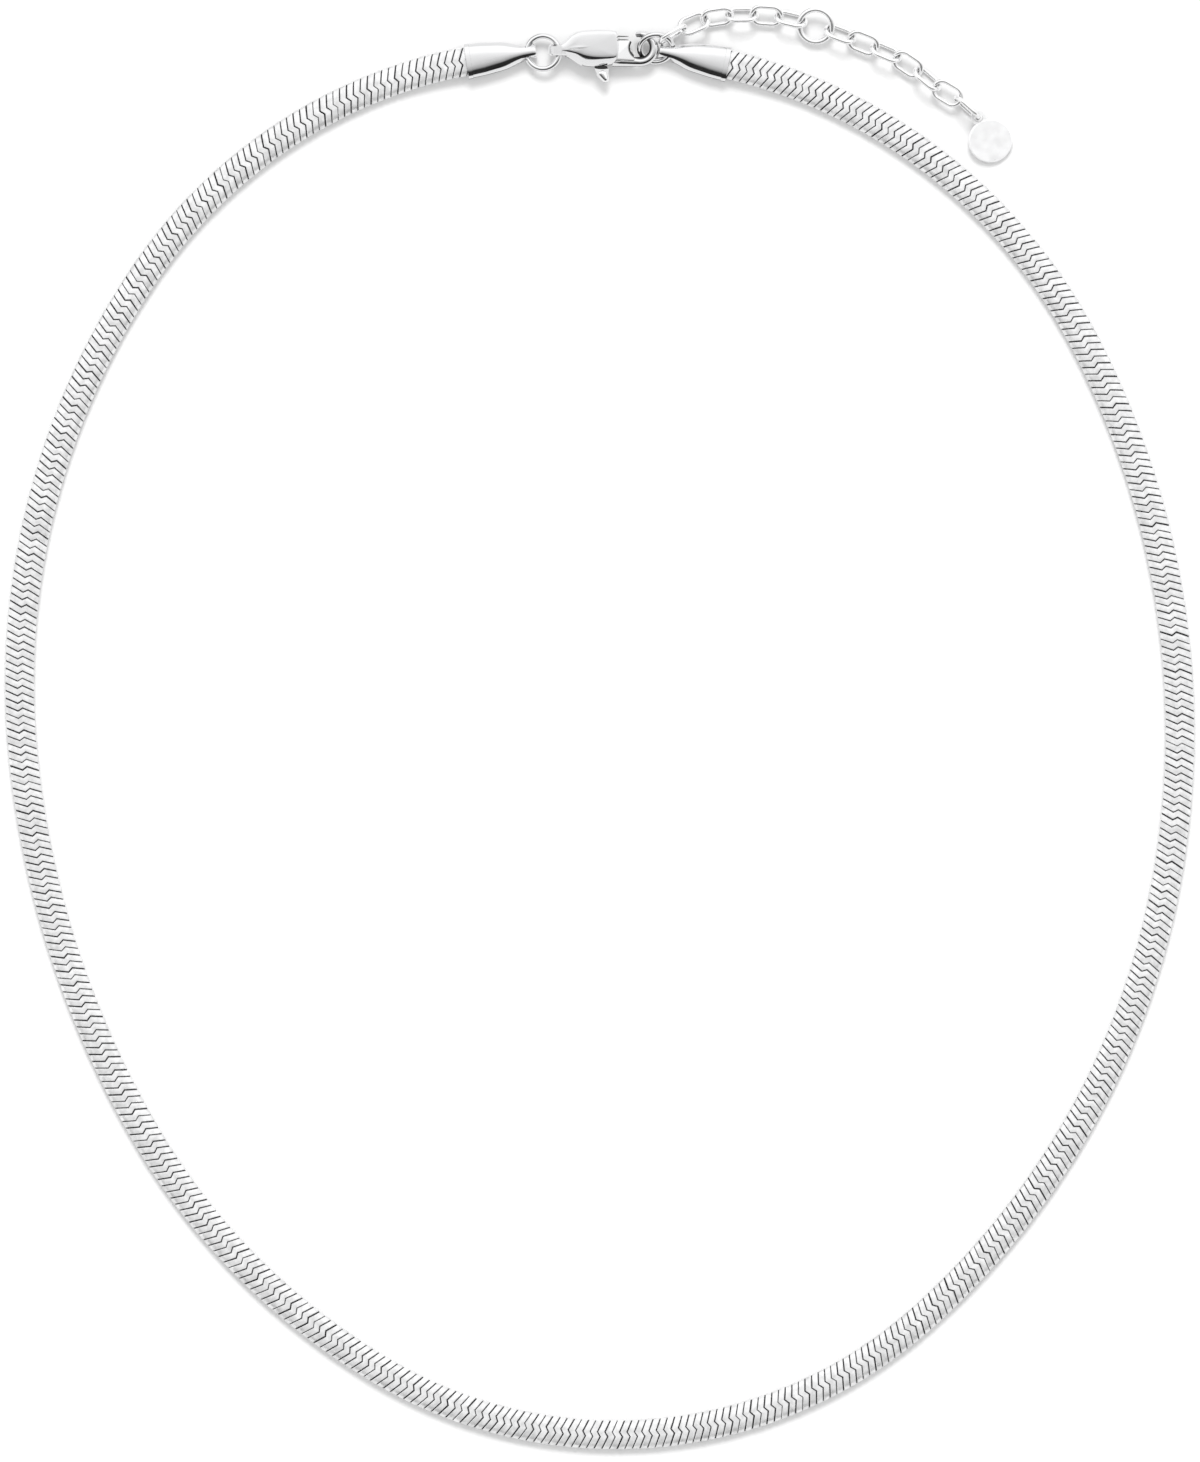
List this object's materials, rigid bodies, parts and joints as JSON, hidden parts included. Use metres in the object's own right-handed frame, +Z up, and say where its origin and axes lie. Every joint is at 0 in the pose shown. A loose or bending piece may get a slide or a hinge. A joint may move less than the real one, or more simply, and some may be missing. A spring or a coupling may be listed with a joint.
{
  "type": "snake chain necklace",
  "caption": "Flat snake chain necklace that closes with a sprung lobster clasp on an extender chain ending in a plain round tag.",
  "frame": {"origin": "under the middle of the whole necklace as it lies flat, on the surface it lies on", "axes": "+Z up from the surface, +Y from the loop's bottom towards the clasp, +X towards the extender's side"},
  "size_m": [0.119, 0.1445, 0.003],
  "materials": {
    "chain_silver": "polished snake chain plates",
    "polished_silver": "polished"
  },
  "bodies": {
    "necklace": {"snake_chain": "chain_silver", "end_cap_left": "polished_silver", "end_cap_right": "polished_silver", "jump_ring_left": "polished_silver", "clasp_body": "polished_silver", "jump_ring_right": "polished_silver", "extender_link_01": "polished_silver", "extender_link_02": "polished_silver", "extender_link_03": "polished_silver", "extender_link_04": "polished_silver", "extender_link_05": "polished_silver", "extender_link_06": "polished_silver", "extender_ring_07": "polished_silver", "extender_link_08": "polished_silver", "extender_link_09": "polished_silver", "extender_link_10": "polished_silver", "extender_link_11": "polished_silver", "extender_link_12": "polished_silver", "extender_link_13": "polished_silver", "extender_link_14": "polished_silver", "round_tag": "polished_silver"},
    "lever": {"clasp_lever": "polished_silver"}
  },
  "joints": [
    {"name": "lever_hinge", "type": "hinge", "parent": "necklace", "child": "lever", "pos_m": [0.00062, 0.06828, 0.00135], "axis": [0, 0, -1], "range_deg": [0, 20], "stiffness_Nm_per_rad": 0.006, "springref_deg": -11.46}
  ]
}
